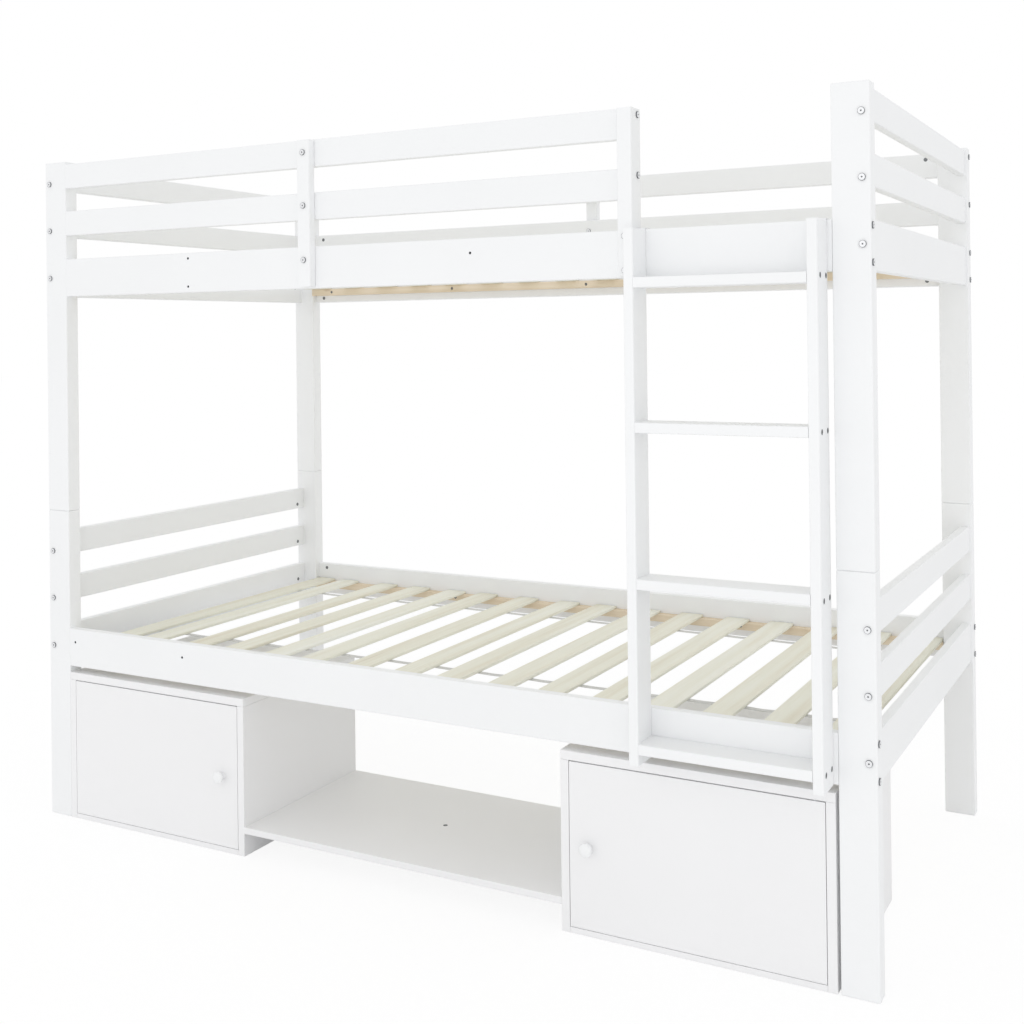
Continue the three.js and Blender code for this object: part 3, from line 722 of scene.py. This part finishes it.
# A stile's back is recessed for the leg of its hook.
def ladderStile(name, x):
    way, screws = ends[name], []
    for top, rise in zip(rungTops, ladder["screwRises"]):
        z = top + (rise - 1) * ladder["rung"]
        for share in ladder["screws"]:
            screws.append((x + way * halfStile, ladderFront + share * ladder["depth"], z, "x", way))
    half = (hookSizes["width"] + hookSizes["play"]) / 2
    recess = ((x - half, ladderBack - hookSizes["plate"], hookFoot - hookSizes["play"]),
              (x + half, ladderBack + overcut, ladder["top"] + overcut))
    plank(f"ladder_stile_{name}", (x - halfStile, x + halfStile), (ladderFront, ladderBack),
          (ladder["foot"], ladder["top"]), "z", timber["boardEdge"], recess=recess,
          pockets=asPockets(screws, ladder["pocket"], ladder["pocketDepth"]))
    fittings(f"ladder_stile_{name}_screws", "wideScrew", sunk(screws, ladder["pocketDepth"]))
    fittings(f"ladder_{name}_bolt", "bolt", [(x, -innerFace, ladder["bolt"], "y", 1)])


for name, x in stiles.items():
    ladderStile(name, x)
    ladderHook(name, x)
for number, top in enumerate(rungTops, 1):
    plank(f"ladder_rung_{number}", (stiles["left"] + halfStile, stiles["right"] - halfStile),
          (ladderFront, ladderBack), (top - ladder["rung"], top), "x", timber["boardEdge"])
print("ladder modelled")

slatBase = {"rise": 21, "ledger": 20, "ledgerEdge": 1.2, "ledgerGap": 0.3, "screws": 5, "screwPitch": 441.6,
            "pocket": 4, "pocketDepth": 1, "count": 16, "first": -958, "reach": 468, "slat": 61.5,
            "thick": 7, "edge": 1.8}
strapSizes = {"width": 15, "thick": 1, "places": (-250, 300), "inset": 5, "cuts": 256, "sag": (0.5, 1.5),
              "slack": 4}
stapleSizes = {"half": 5, "wire": 0.6, "foot": 1.6, "head": 0.9, "shoulder": 1, "lift": 0.4}
slatPitch = (2 * -slatBase["first"] - slatBase["slat"]) / (slatBase["count"] - 1)
# How far each slat has crept to the left, as a share of the gap. The lower bunk's follow the photograph.
creep = {"lower": (0, 0.53, 0.175, 0.27, 0.24, 0.475, 0.295, 0.155,
                   0.305, 0.165, 0.16, 0.065, 0.125, 0.11, 0.05, 0),
         "upper": (0,) * slatBase["count"]}


def slatLefts(bunk):
    gap = slatPitch - slatBase["slat"]
    return [slatBase["first"] + i * slatPitch - creep[bunk][i] * gap for i in range(slatBase["count"])]


def ledgers(bunk, base):
    low, reach = base + slatBase["rise"], postInner - slatBase["ledgerGap"]
    for sideName, side in sides.items():
        node = f"{bunk}_{sideName}_ledger"
        face = side * (innerFace - slatBase["ledger"])
        first = (1 - slatBase["screws"]) / 2
        screws = [((first + i) * slatBase["screwPitch"], face, low + slatBase["ledger"] / 2, "y", -side)
                  for i in range(slatBase["screws"])]
        pockets = asPockets(screws, slatBase["pocket"], slatBase["pocketDepth"])
        plank(node, (-reach, reach), (face, side * innerFace), (low, low + slatBase["ledger"]), "x",
              slatBase["ledgerEdge"], "pine", pockets)
        fittings(f"{node}_screws", "screw", sunk(screws, slatBase["pocketDepth"]))


def slats(bunk, rest):
    for i, left in enumerate(slatLefts(bunk)):
        slat = block(f"{bunk}_slat_{i + 1:02d}", (left, -slatBase["reach"], rest),
                     (left + slatBase["slat"], slatBase["reach"], rest + slatBase["thick"]))
        easeEdges(slat, slatBase["edge"], runsAlong("y"))
        smooth(slat)
        dress(slat, "slat", nodes=(f"{bunk}_slat_roll",) if i == 0 else ())


# A strap is flat under each slat and hangs in an arc between them. The back one has slack at its right end.
def strap(bunk, number, y, rest, sags):
    lefts, gaps = slatLefts(bunk), slatBase["count"] - 1
    reach, half = slatBase["first"] + strapSizes["inset"], strapSizes["width"] / 2
    ribbon = block(f"{bunk}_strap_{number}", (reach, y - half, rest - strapSizes["thick"]),
                   (-reach, y + half, rest))
    openWith(ribbon, "EDGE", runsAlong("x"))
    bpy.ops.mesh.subdivide(number_cuts=strapSizes["cuts"])
    close()
    drops = [sags.uniform(*strapSizes["sag"]) for slat in lefts]
    drops[gaps - 1] += strapSizes["slack"] if y > 0 else 0
    for point in ribbon.data.vertices:
        x = point.co.x / millimetre
        for i in range(gaps):
            low, high = lefts[i] + slatBase["slat"], lefts[i + 1]
            if low < x < high:
                share = (x - low) / (high - low)
                point.co.z -= drops[i] * 4 * share * (1 - share) * millimetre
    smooth(ribbon, degrees=50)
    dress(ribbon, "webbing")


# One wire staple under each slat holds the strap. Its crown has a raised shoulder at each end.
def staples(bunk, number, y, rest):
    half, wire = stapleSizes["half"], stapleSizes["wire"]
    crowns = []
    for left in slatLefts(bunk):
        x = left + slatBase["slat"] / 2
        crown = block(f"{bunk}_staples_{number}", (x - half, y - wire, rest - stapleSizes["foot"]),
                      (x + half, y + wire, rest - stapleSizes["head"]))
        for end in ends.values():
            openWith(crown, "FACE", beyond("x", x + end * half, end))
            drawOut(end * stapleSizes["shoulder"], 0, 0)
            bpy.ops.transform.translate(value=(0, 0, stapleSizes["lift"] * millimetre))
            close()
        crowns.append(crown)
    whole = combine(crowns)
    smooth(whole, degrees=30)
    dress(whole, "zinc")


sagDraw = random.Random(11)
for bunk, base in bunks.items():
    ledgers(bunk, base)
    rest = base + slatBase["rise"] + slatBase["ledger"]
    slats(bunk, rest)
    for number, y in enumerate(strapSizes["places"], 1):
        strap(bunk, number, y, rest, sagDraw)
        staples(bunk, number, y, rest)
print("slatted bases modelled")

cupboard = {"starts": {"left": -959.7, "right": 402.8}, "width": 551.5, "back": -78, "top": 356,
            "panel": 18, "floor": 12, "backPanel": 5, "edge": 0.9}
# The gaps round a door, how far in from its free edge its knob and catch are, and which side it hangs on.
door = {"top": 1.8, "foot": 0.8, "free": 1.1, "hinge": 1, "knob": 43, "catch": 60,
        "hangs": {"left": -1, "right": 1}}
cupboardFront = -timber["halfWidth"]


def panelPiece(node, low, high, body="bed"):
    board = block(f"{node}_panel", low, high)
    easeEdges(board, cupboard["edge"], everything, steps=2)
    smooth(board)
    dress(board, "panel", body, (node,))


# Each ring of the knob is a radius and a height over the door.
knobSizes = {"corners": 48, "rings": ((6.5, 0), (6.3, 5), (7.5, 8), (11.6, 11.5), (13.6, 14.6), (14, 16.6),
                                      (13.3, 19.2), (10.5, 21.2), (6, 21.9), (2, 22))}


# The knob grows ring by ring from its foot, each ring drawn out of the last and scaled.
def knob(name, x, z):
    bpy.ops.object.select_all(action="DESELECT")
    radius, height = knobSizes["rings"][0]
    bpy.ops.mesh.primitive_circle_add(vertices=knobSizes["corners"], radius=radius * millimetre,
                                      fill_type="NGON")
    obj = named(f"{name}_knob_turned")
    openWith(obj, "FACE", everything)
    for wide, high in knobSizes["rings"][1:]:
        drawOut(0, 0, high - height)
        bpy.ops.transform.resize(value=(wide / radius, wide / radius, 1), center_override=(0, 0, 0))
        radius, height = wide, high
    bpy.ops.mesh.select_all(action="SELECT")
    bpy.ops.mesh.normals_make_consistent(inside=False)
    close()
    obj.data.transform(Matrix.Translation(place(x, cupboardFront, z)) @ turnTo("y", -1))
    smooth(obj, degrees=50)
    dress(obj, "paint_z", f"{name}_door", (f"{name}_knob",))


catchSizes = {"half": 22, "gap": 0.5, "depth": 14, "height": 12, "edge": 1,
              "mouthHalf": 12, "mouthFoot": 10, "mouthTop": 3, "mouthDepth": 3}
strikeSizes = {"half": 10, "thick": 0.25, "foot": 8.5, "top": 1, "edge": 1.5}


# The catch is a cup under the top, and the strike that it holds is on the door's back.
def doorCatch(name, x, back, under, doorTop):
    half, mouth = catchSizes["half"], catchSizes["mouthHalf"]
    cup = block(f"{name}_catch", (x - half, back + catchSizes["gap"], under - catchSizes["height"]),
                (x + half, back + catchSizes["depth"], under))
    easeEdges(cup, catchSizes["edge"], everything, steps=2)
    cutOut(cup, [block("tool", (x - mouth, back - overcut, under - catchSizes["mouthFoot"]),
                       (x + mouth, back + catchSizes["mouthDepth"], under - catchSizes["mouthTop"]))])
    smooth(cup)
    dress(cup, "panel")
    half = strikeSizes["half"]
    strike = block(f"{name}_strike", (x - half, back, doorTop - strikeSizes["foot"]),
                   (x + half, back + strikeSizes["thick"], doorTop - strikeSizes["top"]))
    easeEdges(strike, strikeSizes["edge"], runsAlong("y"))
    smooth(strike, degrees=30)
    dress(strike, "zinc", f"{name}_door")


pinSizes = {"in": 20, "back": 5, "radius": 2.5, "depth": 4, "edge": 0.3}


def doorPins(name, x, low, high):
    for label, z, way, gap in (("low", low, -1, door["foot"]), ("high", high, 1, door["top"])):
        seat = (x, cupboardFront + pinSizes["back"], z)
        pin = roundBar(f"{name}_pin_{label}", seat, "z", way, pinSizes["radius"], gap, pinSizes["depth"])
        easeEdges(pin, pinSizes["edge"], everything, steps=1)
        smooth(pin, degrees=30)
        dress(pin, "zinc", f"{name}_door")


def makeCupboard(name, start, hinge):
    end = start + cupboard["width"]
    thick, under = cupboard["panel"], cupboard["top"] - cupboard["panel"]
    left, right = start + thick, end - thick
    front, back = cupboardFront, cupboard["back"]
    node, floor = f"{name}_cupboard", cupboard["floor"]
    panelPiece(f"{node}_top", (start, front, under), (end, back, cupboard["top"]))
    panelPiece(f"{node}_side_left", (start, front, 0), (left, back, under))
    panelPiece(f"{node}_side_right", (right, front, 0), (end, back, under))
    panelPiece(f"{node}_floor", (left, front, 0), (right, back, floor))
    panelPiece(f"{node}_back", (left, back - cupboard["backPanel"], floor), (right, back, under))
    low, high = floor + door["foot"], under - door["top"]
    hung = (right if hinge > 0 else left) - hinge * door["hinge"]
    free = (left if hinge > 0 else right) + hinge * door["free"]
    doorLeft, doorRight = span(hung, free)
    panelPiece(f"{name}_door", (doorLeft, front, low), (doorRight, front + thick, high), f"{name}_door")
    middle, knobX = (low + high) / 2, free + hinge * door["knob"]
    knob(name, knobX, middle)
    fittings(f"{name}_knob_screw", "screw", [(knobX, front + thick, middle, "y", 1)], f"{name}_door")
    doorCatch(name, free + hinge * door["catch"], front + thick, under, high)
    doorPins(name, hung - hinge * pinSizes["in"], low, high)


for name, start in cupboard["starts"].items():
    makeCupboard(name, start, door["hangs"][name])

shelfSizes = {"low": 51.5, "thick": 15, "edge": 1.6, "pocket": 5.5, "pocketDepth": 1, "footHalf": 20,
              "footEdge": 2}


# The shelf runs from cupboard to cupboard, and a screw goes down through it into the foot under its middle.
def shelf():
    left, right = cupboard["starts"]["left"] + cupboard["width"], cupboard["starts"]["right"]
    top = shelfSizes["low"] + shelfSizes["thick"]
    x, y, half = (left + right) / 2, (cupboard["back"] + cupboardFront) / 2, shelfSizes["footHalf"]
    board = block("shelf_panel", (left, cupboardFront, shelfSizes["low"]), (right, cupboard["back"], top))
    easeEdges(board, shelfSizes["edge"], runsAlong("x"))
    cutOut(board, [roundBar("tool", (x, y, top), "z", 1, shelfSizes["pocket"], overcut,
                            shelfSizes["pocketDepth"])])
    smooth(board)
    dress(board, "panel", nodes=("shelf",))
    foot = block("shelf_foot", (x - half, y - half, 0), (x + half, y + half, shelfSizes["low"]))
    easeEdges(foot, shelfSizes["footEdge"], everything)
    smooth(foot)
    dress(foot, "panel")
    fittings("shelf_screw", "wideScrew", sunk([(x, y, top, "z", 1)], shelfSizes["pocketDepth"]))


shelf()
for pattern in patterns.values():
    bpy.data.objects.remove(pattern)
print("cupboards and shelf modelled")

# Places in the studio are in metres. The floor's show is how much of its plain white the camera sees.
studio = {"world": 0.955, "floor": shade(252, 252, 252), "show": 0.88, "glow": 1.01, "size": 60,
          "drop": 0.0005, "aim": (0, 0, 0.8)}
lamps = {"key": {"spot": (0.2, -5.2, 1.3), "power": 15, "size": 4},
         "fill": {"spot": (2.0, -4.0, 0.4), "power": 8, "size": 1.2}}


# The camera, gloss and glass see plain white. All other rays meet the matt floor and the dimmer world.
def plainWhiteRays(wire):
    path = wire.node("ShaderNodeLightPath", output="Is Camera Ray")
    mirrored = wire.maths("MAXIMUM", path.out("Is Glossy Ray"), path.out("Is Transmission Ray"))
    return wire.maths("MAXIMUM", path, mirrored)


def makeFloor():
    bpy.ops.object.select_all(action="DESELECT")
    bpy.ops.mesh.primitive_plane_add(size=studio["size"], location=(0, 0, -studio["drop"]))
    floor = bpy.context.object
    floor.name = floor.data.name = "studio_floor"
    material = bpy.data.materials.new("studio_floor")
    wire = emptyTree(material)
    matt = wire.node("ShaderNodeBsdfDiffuse", None, {"Color": studio["floor"]})
    glow = wire.node("ShaderNodeEmission", None, {"Color": white, "Strength": studio["glow"]})
    share = plainWhiteRays(wire) * studio["show"]
    mixed = wire.node("ShaderNodeMixShader", None, {0: share, 1: matt, 2: glow})
    wire.node("ShaderNodeOutputMaterial", None, {"Surface": mixed})
    floor.data.materials.append(material)


def makeWorld():
    world = bpy.data.worlds.new("studio")
    bpy.context.scene.world = world
    wire = emptyTree(world)
    dim = wire.node("ShaderNodeBackground", None, {"Color": white, "Strength": studio["world"]})
    plain = wire.node("ShaderNodeBackground", None, {"Color": white, "Strength": 1.0})
    mixed = wire.node("ShaderNodeMixShader", None, {0: plainWhiteRays(wire), 1: dim, 2: plain})
    wire.node("ShaderNodeOutputWorld", None, {"Surface": mixed})


def makeLamp(name, spot, power, size):
    data = bpy.data.lights.new(name, "AREA")
    data.energy, data.size = power, size
    lamp = bpy.data.objects.new(name, data)
    bpy.context.scene.collection.objects.link(lamp)
    lamp.location = spot
    lamp.rotation_euler = (Vector(studio["aim"]) - Vector(spot)).to_track_quat("-Z", "Y").to_euler()


makeFloor()
makeWorld()
for name, lamp in lamps.items():
    makeLamp(name, **lamp)
bpy.context.scene.view_settings.view_transform = "Standard"
print("studio lit")
